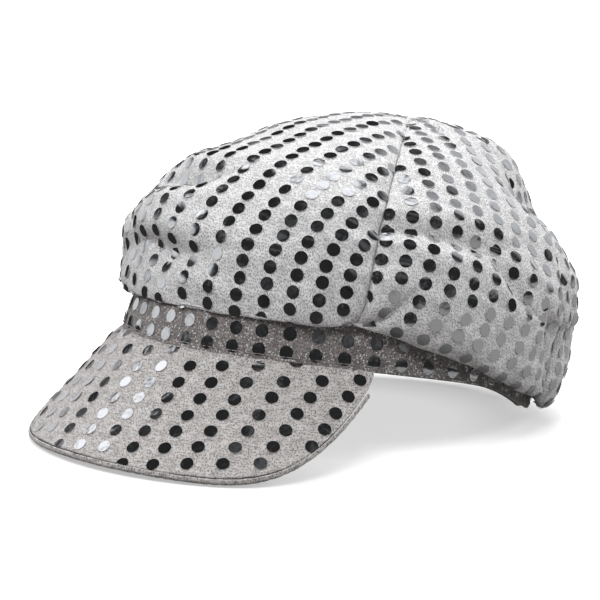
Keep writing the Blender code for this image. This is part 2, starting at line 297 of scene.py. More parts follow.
def add_sequin(bm, cut, across, along, lie):
    """One disc on the cloth: nearly flat, bowed where the cloth bows, cut off at a seam."""
    middle = cut.point(across, along)
    if middle is None:
        return
    step = SEQUIN_RADIUS * 0.8
    side = []
    for way in (Vector((step, 0.0)), Vector((0.0, step))):
        ahead = cut.point(across + way.x, along + way.y)
        behind = cut.point(across - way.x, along - way.y)
        if ahead is None and behind is None:
            return
        side.append((ahead or middle * 2 - behind, behind or middle * 2 - ahead))
    right = (side[0][0] - side[0][1]).normalized()
    out = right.cross(side[1][0] - side[1][1]).normalized()
    up = out.cross(right)
    bow = [((first + second) / 2 - middle).dot(out) / step ** 2 * 0.75 for first, second in side]
    lean_right = sequin_draw.gauss(0.0, math.radians(lie))
    lean_up = sequin_draw.gauss(0.0, math.radians(lie))
    lift = SEQUIN_LIFT + SEQUIN_RADIUS * 0.35 * (abs(lean_right) + abs(lean_up))
    sides, rings = 20, (0.5, 0.88, 1.0)

    def spot(reach, turn, down):
        x = SEQUIN_RADIUS * reach * math.cos(turn)
        y = SEQUIN_RADIUS * reach * math.sin(turn)
        found, _, off = cut.held(across + x, along + y)
        if off > 0.00005:
            x, y = found.x - across, found.y - along
        high = bow[0] * x * x + bow[1] * y * y + lean_right * x + lean_up * y + lift - down
        return bm.verts.new(middle + right * x + up * y + out * high)

    centre = spot(0.0, 0.0, 0.0)
    loops = []
    for reach, down in [(reach, 0.0) for reach in rings] + [(1.0, SEQUIN_THICK)]:
        loops.append([spot(reach, 2 * math.pi * k / sides, down) for k in range(sides)])
    under = spot(0.0, 0.0, SEQUIN_THICK)
    for k in range(sides):
        n = (k + 1) % sides
        bm.faces.new((centre, loops[0][k], loops[0][n]))
        for inner, outer in zip(loops, loops[1:]):
            bm.faces.new((inner[k], outer[k], outer[n], inner[n]))
        bm.faces.new((under, loops[-1][n], loops[-1][k]))


def sew_on_sequins(name, piece, rows, steps, row_start=0.0, step_start=0.0,
                   row_step=ROW_STEP, sequin_step=SEQUIN_STEP, shift=0.0, lie=2.2):
    """Glue a grid of sequins to the cloth, leaving out what the seams cut off."""
    cut = FlatCut(piece)
    bm = bmesh.new()
    for i in rows:
        for j in steps:
            across = row_start + i * row_step + sequin_draw.gauss(0.0, 0.00012)
            along = step_start + j * sequin_step + i * shift + sequin_draw.gauss(0.0, 0.00012)
            add_sequin(bm, cut, across, along, lie)
    for face in bm.faces:
        face.smooth = True
    mesh = bpy.data.meshes.new(name)
    bm.to_mesh(mesh)
    bm.free()
    mesh.set_sharp_from_angle(angle=math.radians(40.0))
    mesh.materials.append(sequin_foil)
    sequins = bpy.data.objects.new(name, mesh)
    bpy.context.scene.collection.objects.link(sequins)
    return sequins


# ---- Crown -------------------------------------------------------------------------
# Four panels of the sequinned knit, front, left, back and right, meet at a bare point
# behind the middle. They are full, so they roll out over the band, and sink into folds.

# Everything is drawn upright about the head, front at -Y and the wearer's left at +X, with
# the band's lower edge near Z = 0, and then laid back on the table round the visor's joint.
HEAD_LENGTH, HEAD_WIDTH = 0.1035, 0.0925
BAND_HEIGHT, BAND_LEAN, TEMPLE_ARCH = 0.029, 0.14, 0.0065
VISOR_SPREAD, VISOR_OFFSET = math.radians(58.0), 0.0016

visor_joint = frame["joints"][0]
seam_end_y = -(HEAD_LENGTH + VISOR_OFFSET) * math.cos(VISOR_SPREAD)
seam_end_z = TEMPLE_ARCH * math.sin(VISOR_SPREAD) ** 2
LEAN_BACK = 0.233847
# The soft back of the band gives way on the wearer's left, and the elastic draws its middle up.
SAG_STARTS, SAG_RUN, SAG_DEPTH = 82.0, 58.0, 0.0062
DRAWN_FROM, DRAWN_TO, DRAWN_UP = 117.0, 228.0, 0.0055
upright = Matrix.Rotation(-LEAN_BACK, 3, "X")
hat_place = Vector(visor_joint["pos_m"]) - upright @ Vector((0.0, seam_end_y, seam_end_z))


def on_table(point):
    """A point of the upright hat, where it is once the hat lies on the table."""
    return upright @ point + hat_place


def mix(first, second, share):
    return first + (second - first) * share


def ease(share):
    share = min(max(share, 0.0), 1.0)
    return share * share * (3.0 - 2.0 * share)


def band_point(angle, out, height):
    """`out` metres outside the band, `height` above its lower edge, angle from the front."""
    reach = out - BAND_LEAN * height
    rise = TEMPLE_ARCH * math.sin(angle) ** (2 if math.cos(angle) > 0.0 else 6)
    turned = math.degrees(angle) % 360.0
    clear_of_table = HEAD_LENGTH * (1.0 + math.cos(angle)) * math.tan(LEAN_BACK) + rise
    sag = min(SAG_DEPTH * ease((turned - SAG_STARTS) / SAG_RUN), clear_of_table)
    if turned >= 180.0:
        sag = 0.0
    sag -= DRAWN_UP * ease((turned - DRAWN_FROM) / 18.0) * ease((DRAWN_TO - turned) / 20.0)
    rise -= sag * min(max(1.0 - height / BAND_HEIGHT, 0.0), 1.0)
    return Vector(((HEAD_WIDTH + reach) * math.sin(angle),
                   -(HEAD_LENGTH + reach) * math.cos(angle), rise + height))


# Each soft piece has its placement baked into its mesh; nothing here bends it with the visor.
LIES_AT = 0.0006


def bend_with_visor(piece):
    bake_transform(piece)


def lay_on_table(piece):
    """Set a piece down with the hat; cloth that would reach the table lies flat on it."""
    for vert in piece.data.vertices:
        vert.co = on_table(vert.co)
        vert.co.z = max(vert.co.z, LIES_AT)


CROWN_FRONT, CROWN_BACK, CROWN_SIDE = 0.1045, 0.1185, 0.1070
WIDEST_HEIGHT, WIDEST_SLOPE, CROWN_HEIGHT, APEX_BACK = 0.0415, 0.0046, 0.1260, 0.0270
FRONT_SEAM, BACK_SEAM = 48.0, 116.0
DROOP_FRONT, DROOP_SEAM, DROOP_BACK, DROOP_SETTLED = 0.0185, 0.0225, 0.0055, 125.0
CROWN_INWARD, CROWN_UPWARD = (1.335, 0.742), (1.031, 1.642)   # how it rounds, front and back
CORNER_DROOP, CORNER_ANGLE, CORNER_WIDTH = 0.0060, 130.0, 15.0
# The roll over the band: its share of the panel, how far it swings out, how deep it is
# pulled, where it leaves the band and how far its cloth hangs below the droop.
ROLL_SHARE, ROLL_OUT, ROLL_PULL, ROLL_START, ROLL_HANG = 0.3, 0.25, 0.6, 0.0008, 0.0012
HIGHEST_FOLD = 0.0045
SEAM_SINK, SEAM_WIDTH = 0.0030, 0.0075


def droop_height(angle):
    """How far above the band's lower edge the crown hangs; lowest at the back's left corner."""
    turned = math.degrees(math.acos(max(-1.0, min(1.0, math.cos(angle)))))
    if turned < FRONT_SEAM:
        return mix(DROOP_FRONT, DROOP_SEAM, (turned / FRONT_SEAM) ** 2)
    corner_way = (math.degrees(angle) % 360.0 - CORNER_ANGLE) / CORNER_WIDTH
    corner = CORNER_DROOP * math.exp(-corner_way ** 2)
    settled = ease((turned - FRONT_SEAM) / (DROOP_SETTLED - FRONT_SEAM))
    return mix(DROOP_SEAM, DROOP_BACK, settled) - corner


def crown_point(angle, share):
    """The crown with its folds pressed out: share 0 at the band, 1 where the panels meet."""
    reach = CROWN_FRONT if math.cos(angle) > 0.0 else CROWN_BACK
    widest = Vector((CROWN_SIDE * math.sin(angle), -reach * math.cos(angle),
                     WIDEST_HEIGHT + WIDEST_SLOPE * math.cos(angle)))
    back = 0.5 * (1.0 - math.cos(angle))
    if share < ROLL_SHARE:
        t = share / ROLL_SHARE
        start = band_point(angle, ROLL_START, BAND_HEIGHT)
        droop = droop_height(angle) - ROLL_HANG
        fall = start + (widest - start) * ROLL_OUT
        fall.z = droop - ROLL_PULL * (start.z - droop)
        rise = widest.copy()
        rise.z = droop
        return (start * (1 - t) ** 3 + fall * 3 * t * (1 - t) ** 2
                + rise * 3 * t * t * (1 - t) + widest * t ** 3)
    turn = (share - ROLL_SHARE) / (1.0 - ROLL_SHARE) * math.pi / 2.0
    inward = max(math.cos(turn), 0.0) ** mix(*CROWN_INWARD, back)
    upward = math.sin(turn) ** mix(*CROWN_UPWARD, back)
    return Vector((widest.x * inward, APEX_BACK + (widest.y - APEX_BACK) * inward,
                   widest.z + (CROWN_HEIGHT - widest.z) * upward))


# Folds as they fell: (angle, share) of the middle, way it runs (degrees above level),
# half length and half width in metres, and its depth, negative for a valley.
FOLDS = (
    (-20.0, 0.486, 16.0, 0.026, 0.0058, -0.0074),
    (-17.0, 0.430, 12.0, 0.034, 0.0080, 0.0026),
    (-12.0, 0.545, 12.0, 0.040, 0.0100, 0.0024),
    (-14.0, 0.290, 4.0, 0.040, 0.0060, -0.0052),
    (-10.0, 0.345, 4.0, 0.040, 0.0080, 0.0018),
    (26.0, 0.36, -12.0, 0.030, 0.0070, -0.0018),
    (64.0, 0.480, 10.0, 0.036, 0.0048, -0.0046),
    (66.0, 0.53, 12.0, 0.036, 0.0080, 0.0022),
    (60.0, 0.42, 6.0, 0.030, 0.0070, 0.0018),
    (90.0, 0.40, -34.0, 0.030, 0.0050, -0.0042),
    (98.0, 0.44, -40.0, 0.030, 0.0060, 0.0026),
    (104.0, 0.34, -52.0, 0.030, 0.0060, -0.0044),
    (112.0, 0.50, -60.0, 0.022, 0.0110, 0.0042),
    (118.0, 0.40, -60.0, 0.024, 0.0060, -0.0040),
    (55.0, 0.235, 66.0, 0.020, 0.0042, -0.0040),
    (41.0, 0.225, -66.0, 0.018, 0.0050, -0.0026),
    (130.0, 0.68, 0.0, 0.036, 0.0120, -0.0050),
    (132.0, 0.50, 0.0, 0.040, 0.0150, 0.0044),
    (128.0, 0.82, 0.0, 0.036, 0.0140, 0.0040),
    (124.0, 0.36, 0.0, 0.040, 0.0130, 0.0030),
    (132.0, 0.34, 40.0, 0.034, 0.0080, -0.0034),
    (150.0, 0.46, 10.0, 0.040, 0.0100, -0.0034),
    (175.0, 0.32, -6.0, 0.046, 0.0090, -0.0036),
    (-150.0, 0.42, -14.0, 0.036, 0.0090, -0.0036),
    (-128.0, 0.33, -42.0, 0.030, 0.0070, -0.0030),
    (-100.0, 0.42, 36.0, 0.032, 0.0070, -0.0032),
    (-78.0, 0.50, -10.0, 0.036, 0.0075, -0.0030),
    (-66.0, 0.35, 20.0, 0.030, 0.0065, -0.0026),
    (-38.0, 0.38, -24.0, 0.026, 0.0065, -0.0026),
)


SHARE_LENGTH = 0.20                        # metres of cloth in the whole of a panel's height
WAVE_HEIGHT, WAVE_LENGTH = 0.0025, 0.016   # how a fold wanders along its way


def fold_height(angle, share, at):
    """How far the folds lift or sink the cloth here."""
    total = 0.0
    for middle, level, way, half_length, half_width, depth in FOLDS:
        turned = (math.degrees(angle) - middle + 180.0) % 360.0 - 180.0
        if abs(turned) > 50.0:
            continue
        away = math.radians(turned) * math.hypot(at.x, at.y - 0.3 * APEX_BACK)
        up = (share - level) * SHARE_LENGTH
        tilt = math.radians(way)
        along = away * math.cos(tilt) + up * math.sin(tilt)
        across = -away * math.sin(tilt) + up * math.cos(tilt)
        across += WAVE_HEIGHT * math.sin(along / WAVE_LENGTH)
        crease = 1.25 if depth < 0.0 else 2.0
        total += depth * math.exp(-(along / half_length) ** 2 - abs(across / half_width) ** crease)
    return total


# Lumps to the metre sideways and upwards, a shift that sets them apart, and their height.
SLACK_LUMPS = (
    (24.0, 46.0, 0.0, 0.0026),
    (60.0, 115.0, 7.0, 0.0011),
    (150.0, 210.0, 31.0, 0.00035),
)


def slack_height(share, at):
    """The knit's small unevenness: soft lumps, longer sideways than down, less near the top."""
    slack = mix(1.0, 0.45, ease((share - 0.35) / 0.5))
    lumps = 0.0
    for around, up, shift, high in SLACK_LUMPS:
        lumps += noise.noise(Vector((at.x * around, at.y * around, at.z * up + shift))) * high
    return lumps * slack


SWING, SWING_SHARE, SWING_WIDTH = 6.0, 0.45, 0.13
GROOVE_DEPTH, GROOVE_WIDTH = 0.0007, 0.0012


def seam_angles(share):
    """The four seams, in degrees: the back ones swing forward where the cloth is pulled."""
    swing = SWING * math.exp(-((share - SWING_SHARE) / SWING_WIDTH) ** 2)
    back = BACK_SEAM - swing
    return (FRONT_SEAM, back, 360.0 - back, 360.0 - FRONT_SEAM)


def seam_height(angle, share, at):
    """The cloth dips along each seam, where the two panels turn in."""
    degrees = math.degrees(angle) % 360.0
    nearest = min(abs((degrees - seam + 180.0) % 360.0 - 180.0) for seam in seam_angles(share))
    away = math.radians(nearest) * math.hypot(at.x, at.y - APEX_BACK * ease(share * 1.3))
    grip = SEAM_SINK * mix(1.0, 0.55, ease((share - 0.6) / 0.35))
    groove = GROOVE_DEPTH * math.exp(-(away / GROOVE_WIDTH) ** 2)
    return -grip * math.exp(-abs(away) / SEAM_WIDTH) - groove


def folded_crown(angle, share):
    at = crown_point(angle, share)
    step = 0.004
    side = crown_point(angle + step, share) - crown_point(angle - step, share)
    high = min(share + step, 0.999)
    climb = crown_point(angle, high) - crown_point(angle, high - 2 * step)
    out = side.cross(climb).normalized()
    free = ease((share - 0.03) / 0.14) * ease((1.0 - share) / 0.02)
    lift = (seam_height(angle, share, at) * ease((share - 0.02) / 0.1)
            + (fold_height(angle, share, at) + slack_height(share, at)) * free)
    return at + out * min(lift, HIGHEST_FOLD)


PANEL_TOP = 0.998          # the panels stop a hair short of the point where they meet
EASED_WIDTH, ROLL_BEGINS = 0.080, 0.128


def panel_cut(first, last, ease_in, pull):
    """The panel's flat cut: lengths down from the top, and widths out from its middle."""
    lines, samples = 24, 90

    def lengths(spots):
        total = [0.0]
        for a, b in zip(spots, spots[1:]):
            total.append(total[-1] + (b - a).length)
        return total

    def look(table, share):
        low = min(int(share * samples), samples - 1)
        return mix(table[low], table[low + 1], share * samples - low)

    down = []
    for i in range(lines + 1):
        angle = math.radians(mix(first, last, i / lines))
        down.append(lengths([folded_crown(angle, PANEL_TOP * (1.0 - k / samples))
                             for k in range(samples + 1)]))
    half_width = []
    for k in range(samples + 1):
        level = 1.0 - k / samples
        around = [crown_point(math.radians(mix((first + last) / 2, last, i / 12)), level)
                  for i in range(13)]
        half_width.append(lengths(around)[-1])

    def cut(u, share):
        low = min(int(u * lines), lines - 1)
        reach = mix(look(down[low], 1.0 - share), look(down[low + 1], 1.0 - share), u * lines - low)
        width = (2 * u - 1) * look(half_width, 1.0 - share)
        width *= ease_in + (1.0 - ease_in) * abs(width) / EASED_WIDTH
        return (width + pull * max(reach - ROLL_BEGINS, 0.0), -reach)

    return cut


# Seam to seam, columns of cloth, how far the cloth is eased in at its middle, how it is
# pulled askew where it rolls under, and where the first row and first course fall.
PANELS = {
    "front": (-FRONT_SEAM, FRONT_SEAM, 150, 0.82, 0.05, 0.0028, -0.1579, 0.0077),
    "left": (FRONT_SEAM, BACK_SEAM, 110, 0.93, 0.28, -0.0186, -0.1542, 0.0083),
    "back": (BACK_SEAM, 360.0 - BACK_SEAM, 170, 0.95, 0.0, 0.0, -0.1300, 0.0083),
    "right": (360.0 - BACK_SEAM, 360.0 - FRONT_SEAM, 110, 0.93, -0.20, 0.0040, -0.1300, 0.0083),
}
CROWN_CLOTH, PANEL_ROWS = 0.0010, 150


def seam_angle_at(end, share):
    """The panel's edge angle: the back seams swing, the front ones are straight."""
    if end in (BACK_SEAM, 360.0 - BACK_SEAM):
        swung = seam_angles(share)
        return swung[1] if end == BACK_SEAM else swung[2]
    return end


for side, (first, last, columns, ease_in, pull, row_start, course, step) in PANELS.items():
    flat_cut = panel_cut(first, last, ease_in, pull)

    def place(u, v, first=first, last=last):
        share = v * PANEL_TOP
        start, end = seam_angle_at(first, share), seam_angle_at(last, share)
        return folded_crown(math.radians(mix(start, end, u)), share)

    coarser = 1
    panel = cut_cloth(f"crown_{side}", place, flat_cut, columns // coarser,
                      PANEL_ROWS // coarser, CROWN_CLOTH, sequin_knit)
    sequins = sew_on_sequins(f"crown_{side}_sequins", panel, range(-10, 11), range(-9, 20),
                             row_start=row_start, step_start=course, sequin_step=step)
    for piece in (panel, sequins):
        lay_on_table(piece)
    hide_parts(f"crown_{side}_panel")
    declare_sheet(panel)
    for piece in (panel, sequins):
        bend_with_visor(piece)

# ---- Band --------------------------------------------------------------------------
# One strip of the same knit round the head, two sequins high. Its lower edge is turned up
# inside and held by a line of stitching three millimetres from the fold.
BAND_SHOWN = 0.0275
HEM_TURN = 0.009
BAND_COLUMNS, BAND_KNIT_THICK, HEM_INSIDE, FOLD_AT = 47, 0.0005, 0.0014, 0.0004
STITCHED_AT, STITCH_PULL, STITCH_WIDTH = 0.0032, 0.0005, 0.0008


def band_surface(u, v):
    """From the turned-up hem inside, round the fold, and up the outside."""
    angle = 2 * math.pi * u
    outside = HEM_TURN / (HEM_TURN + BAND_SHOWN)
    ripple = 0.0004 * noise.noise(Vector((math.sin(angle) * 9.0, math.cos(angle) * 9.0, v * 4.0)))
    if v < outside:
        return band_point(angle, -HEM_INSIDE, mix(HEM_TURN, FOLD_AT, v / outside))
    height = mix(FOLD_AT, BAND_SHOWN, (v - outside) / (1.0 - outside))
    stitched = -STITCH_PULL * math.exp(-((height - STITCHED_AT) / STITCH_WIDTH) ** 2)
    return band_point(angle, ripple + stitched, height)


band_girth = math.pi * (HEAD_LENGTH + HEAD_WIDTH)
# The band's knit is a darker, browner copy of the crown's knit: painted shade that stands in for
# the shade under the crown's overhang.
band_knit_painted_shade = knit_material("band_knit_painted_shade", (0.25, 0.228, 0.222), (0.14, 0.128, 0.125),
                          (0.06, 0.055, 0.053), 0.20)
band_cover = cut_cloth("band_cover_cloth", band_surface,
                       lambda u, v: (u * band_girth, v * (HEM_TURN + BAND_SHOWN)),
                       360, 40, BAND_KNIT_THICK, band_knit_painted_shade, closed=True)
band_sequins = sew_on_sequins("band_sequins", band_cover, range(BAND_COLUMNS), range(2),
                              row_start=0.0058, step_start=HEM_TURN + 0.0048,
                              row_step=band_girth / BAND_COLUMNS)
for piece in (band_cover, band_sequins):
    lay_on_table(piece)
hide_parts("band_cover")
declare_sheet(band_cover)
for piece in (band_cover, band_sequins):
    bend_with_visor(piece)

# ---- Visor -------------------------------------------------------------------------
# Two covers of the knit over a plastic board, bent round the brow. The board is straight
# along its length, and its free edge is a turned seam with the sequins cut through.
# The visor's knit is a darker, warmer copy of the crown's knit: its darkness is painted shade for
# the lower light on the visor.
visor_knit_painted_shade = knit_material("visor_knit_painted_shade", (0.56, 0.535, 0.525), (0.33, 0.31, 0.305),
                           (0.10, 0.095, 0.09), 0.22)
VISOR_DROP, VISOR_FLARE, BROW_RADIUS = math.radians(56.0), 0.26, 0.0955
VISOR_KNIT_THICK, UNDER_COVER_BELOW = 0.0007, 0.0023
VISOR_LENGTH, VISOR_CORNER, VISOR_SQUARE, VISOR_ROUND = 0.064, 0.004, 7.0, 0.8


def visor_reach(angle):
    share = min(abs(angle) / VISOR_SPREAD, 1.0)
    full = (1.0 - share ** VISOR_SQUARE) ** VISOR_ROUND
    return VISOR_CORNER + (VISOR_LENGTH - VISOR_CORNER) * full


def visor_point(angle, share, beyond=0.0):
    along = Vector((VISOR_FLARE * math.sin(angle), -math.cos(VISOR_DROP), -math.sin(VISOR_DROP)))
    return band_point(angle, VISOR_OFFSET, 0.0) + along * (visor_reach(angle) * share + beyond)


def visor_angle(u):
    return (VISOR_SPREAD - math.radians(0.5)) * math.sin((2 * u - 1) * math.pi / 2)


def visor_top(u, v):
    angle = visor_angle(u)
    point = visor_point(angle, 1.0 - v)
    lump = 0.0006 * noise.noise(Vector((point.x * 45.0, point.y * 45.0, point.z * 30.0)))
    tuck = math.exp(-visor_reach(angle) * (1.0 - v) / 0.0016)
    tucked = band_point(angle, -0.0002, 0.0011) - band_point(angle, VISOR_OFFSET, 0.0)
    return point + Vector((0.0, -0.5, 0.8)) * lump * (1.0 - tuck) + tucked * tuck


def visor_cut(u, v):
    angle = visor_angle(u)
    reach = visor_reach(angle) * (1.0 - v)
    return (angle * BROW_RADIUS + VISOR_FLARE * math.sin(angle) * reach, -reach)


visor_top_cover = cut_cloth("visor_top_cloth", visor_top, visor_cut, 160, 60,
                            VISOR_KNIT_THICK, visor_knit_painted_shade)
visor_sequins = sew_on_sequins("visor_sequins", visor_top_cover, range(-5, 12), range(-8, 9),
                               row_start=-0.0272, step_start=-0.0534, sequin_step=0.00925,
                               row_step=0.01487, shift=0.0027)
for piece in (visor_top_cover, visor_sequins):
    lay_on_table(piece)
    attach(piece, "visor")
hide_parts("visor_top_cover")
declare_sheet(visor_top_cover)

# The under cover is the same knit without sequins, stuck flat below the board. The board
# itself is a sheet of white plastic, seen only from behind between the two covers.
def under_cover(u, v):
    angle = visor_angle(u)
    side = visor_point(angle + 0.01, 0.5) - visor_point(angle - 0.01, 0.5)
    climb = visor_point(angle, 0.4) - visor_point(angle, 0.6)
    down = side.cross(climb).normalized() * UNDER_COVER_BELOW
    return visor_point(angle, mix(1.0, 0.08, v)) - down


visor_under = cut_cloth("visor_under_cloth", under_cover, visor_cut, 120, 24,
                        VISOR_KNIT_THICK, visor_knit_painted_shade)
lay_on_table(visor_under)
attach(visor_under, "visor")
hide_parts("visor_under_cover")
declare_sheet(visor_under)

visor_plastic, tree, shader = new_material("visor_plastic")
cast = node(tree, "ShaderNodeTexNoise", (-600, -100), {"Scale": 350.0})
cast_gloss = node(tree, "ShaderNodeMapRange", (-350, -100),
                  {"Value": cast.outputs["Fac"], "To Min": 0.40, "To Max": 0.62})
wire(tree, shader, {"Base Color": (0.78, 0.78, 0.77, 1.0),
                    "Roughness": cast_gloss.outputs["Result"]})
visor_board = frame["nodes"]["visor_board"]
visor_board.data.materials.clear()
visor_board.data.materials.append(visor_plastic)

# Round the free edge the two covers meet in a narrow strip of the knit, folded over the
# board's edge and rubbed a little uneven.
def edge_strip(u, v):
    angle = visor_angle(u)
    step = 0.006
    run = visor_point(angle + step, 1.0) - visor_point(angle - step, 1.0)
    side = visor_point(angle + step, 0.5) - visor_point(angle - step, 0.5)
    climb = visor_point(angle, 0.4) - visor_point(angle, 0.6)
    up = side.cross(climb).normalized()
    outward = run.cross(up).normalized()
    rough = noise.noise(Vector((u * 140.0, v * 3.0, 5.0))) * 0.00028
    turn = mix(-1.35, 1.35, v)
    radius = 0.00145 + rough
    heart = visor_point(angle, 1.0) - up * 0.0014 + outward * 0.0001
    return heart + outward * (math.cos(turn) * radius * 1.15) - up * (math.sin(turn) * radius)


EDGE_LENGTH, EDGE_GIRTH = 0.300, 0.0042
visor_edge = cut_cloth("visor_edge_strip", edge_strip,
                       lambda u, v: (u * EDGE_LENGTH, v * EDGE_GIRTH), 400, 10, 0.0004,
                       visor_knit_painted_shade)
lay_on_table(visor_edge)
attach(visor_edge, "visor")
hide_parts("visor_edge_seam")

# ---- Inside of the hat -------------------------------------------------------------
# A loose satin lining in four panels hangs from the band's top seam. Round the head run a
# stiff buckram strip, an elastic at the back and a ribbed sweatband, with a blank label.
def build_weave_group():
    """Ribs or weave across a flat cut in metres: two tones of one thread, and its relief."""
    group = new_group("woven_ribs", (
        ("Deep", "INPUT", "Color"), ("Full", "INPUT", "Color"), ("Ribs", "INPUT", "Vector"),
        ("Relief", "INPUT", "Float"), ("Color", "OUTPUT", "Color"),
        ("Normal", "OUTPUT", "Vector")))
    given = node(group, "NodeGroupInput", (-1200, 200)).outputs
    flat = node(group, "ShaderNodeUVMap", (-1200, 0), uv_map="flat_cut")
    ribs = node(group, "ShaderNodeVectorMath", (-1000, 0),
                {0: flat.outputs["UV"], 1: given["Ribs"]}, operation="MULTIPLY")
    weave = node(group, "ShaderNodeTexNoise", (-800, -120),
                 {"Vector": ribs.outputs[0], "Scale": 1.0, "Detail": 2.0})
    tone = node(group, "ShaderNodeMix", (-400, 120), data_type="RGBA")
    wire(group, tone, {"Factor": weave.outputs["Fac"], "A": given["Deep"], "B": given["Full"]})
    bump = node(group, "ShaderNodeBump", (-400, -200),
                {"Height": weave.outputs["Fac"], "Strength": 0.6, "Distance": given["Relief"]})
    node(group, "NodeGroupOutput", (0, 0),
         {"Color": tone.outputs["Result"], "Normal": bump.outputs["Normal"]})
    return group


weave_group = build_weave_group()


def plain_cloth(name, colour, roughness, ribs_across, ribs_along, relief, sheen=0.0):
    """Woven cloth in one colour, with its ribs or its weave as relief."""
    mat, tree, shader = new_material(name)
    weave = node(tree, "ShaderNodeGroup", (-400, 0), node_tree=weave_group)
    wire(tree, weave, {"Deep": (*[c * 0.72 for c in colour], 1.0), "Full": (*colour, 1.0),
                       "Ribs": (ribs_across, ribs_along, 1.0), "Relief": relief})
    wire(tree, shader, {"Base Color": weave.outputs["Color"], "Roughness": roughness,
                        "Sheen Weight": sheen, "Normal": weave.outputs["Normal"]})
    return mat


lining_satin = plain_cloth("lining_satin", (0.50, 0.50, 0.52), 0.42, 300.0, 2200.0, 0.0002, 0.3)
sweatband_tape = plain_cloth("sweatband_tape", (0.30, 0.30, 0.32), 0.85, 1100.0, 90.0, 0.0004)
buckram = plain_cloth("buckram", (0.80, 0.79, 0.75), 0.9, 800.0, 800.0, 0.0003)
elastic_tape = plain_cloth("elastic_tape", (0.80, 0.80, 0.78), 0.8, 1400.0, 300.0, 0.0004)
label_satin = plain_cloth("label_satin", (0.88, 0.88, 0.86), 0.45, 500.0, 2500.0, 0.0001)


def lining_surface(angle, share):
    level = max(share, ROLL_SHARE)
    step = 0.004
    side = crown_point(angle + step, level) - crown_point(angle - step, level)
    climb = crown_point(angle, min(level + step, 0.999)) - crown_point(angle, level - step)
    slack = 0.0012 * noise.noise(crown_point(angle, level) * 38.0 + Vector((9.0, 0.0, 0.0)))
    top = crown_point(angle, level) - side.cross(climb).normalized() * (0.0085 + slack)
    if share >= ROLL_SHARE:
        return top
    start = band_point(angle, -0.0016, BAND_HEIGHT + 0.0015)
    sag = 0.002 * math.sin(math.pi * share / ROLL_SHARE) * math.sin(angle * 17.0)
    return start + (top - start) * (share / ROLL_SHARE) + Vector((0.0, 0.0, sag))


for side, (first, last, columns, *_) in PANELS.items():
    def place(u, v, first=first, last=last):
        return lining_surface(math.radians(mix(first, last, u)), 0.996 * v)

    def cut(u, v, first=first, last=last):
        girth = math.radians(last - first) * 0.098
        return ((u - 0.5) * girth * math.cos(0.5 * math.pi * max(v - 0.2, 0.0) / 0.8), v * 0.150)

    lining = cut_cloth(f"lining_{side}", place, cut, 40, 40, 0.0004, lining_satin)
    lay_on_table(lining)
    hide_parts(f"lining_{side}_panel")
    declare_sheet(lining)
    bend_with_visor(lining)


def round_strip(name, first, last, depth, low, high, thickness, material, columns):
    """A strip inside the band, from one angle to another."""
    closed = last - first >= 360.0
    run = math.radians(last - first) * (HEAD_LENGTH + HEAD_WIDTH) / 2

    def place(u, v):
        return band_point(math.radians(mix(first, last, u)), -depth, mix(low, high, v))

    strip = cut_cloth(name, place, lambda u, v: (u * run, v * (high - low)), columns, 6,
                      thickness, material, closed=closed)
    lay_on_table(strip)
    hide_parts(name.removesuffix("_cloth"))
    declare_sheet(strip)
    bend_with_visor(strip)
    return strip


round_strip("band_stiffener_cloth", -144.0, 144.0, 0.0017, 0.0012, 0.0278, 0.0008, buckram,
            240)
round_strip("back_elastic_cloth", 146.0, 214.0, 0.0017, 0.006, 0.022, 0.0008, elastic_tape,
            80)
round_strip("sweatband_cloth", 0.0, 360.0, 0.0030, 0.0009, 0.0281, 0.0010, sweatband_tape,
            360)
round_strip("care_label_cloth", 170.6, 189.4, 0.0045, 0.009, 0.025, 0.0004, label_satin,
            20)

# ---- Stitching ---------------------------------------------------------------------
# Clear nylon thread holds the band's turned-up edge in one line three millimetres above the
# fold, straight across the lower sequins. Grey thread holds the sweatband inside.
STITCHES, THREAD_CLEAR, THREAD_GREY = 190, 0.00012, 0.00016


def build_twist_group():
    """The two tones of a twisted thread."""
    group = new_group("thread_twist", (
        ("Deep", "INPUT", "Color"), ("Full", "INPUT", "Color"), ("Color", "OUTPUT", "Color")))
    given = node(group, "NodeGroupInput", (-900, 200)).outputs
    spot = node(group, "ShaderNodeTexCoord", (-900, 0)).outputs["Object"]
    twist = node(group, "ShaderNodeTexNoise", (-700, 0), {"Vector": spot, "Scale": 2500.0})
    tone = node(group, "ShaderNodeMix", (-400, 100), data_type="RGBA")
    wire(group, tone, {"Factor": twist.outputs["Fac"], "A": given["Deep"], "B": given["Full"]})
    node(group, "NodeGroupOutput", (0, 0), {"Color": tone.outputs["Result"]})
    return group


twist_group = build_twist_group()


def thread_material(name, colour, roughness):
    mat, tree, shader = new_material(name)
    twist = node(tree, "ShaderNodeGroup", (-400, 0), node_tree=twist_group)
    wire(tree, twist, {"Deep": (*[c * 0.6 for c in colour], 1.0), "Full": (*colour, 1.0)})
    wire(tree, shader, {"Base Color": twist.outputs["Color"], "Roughness": roughness})
    return mat


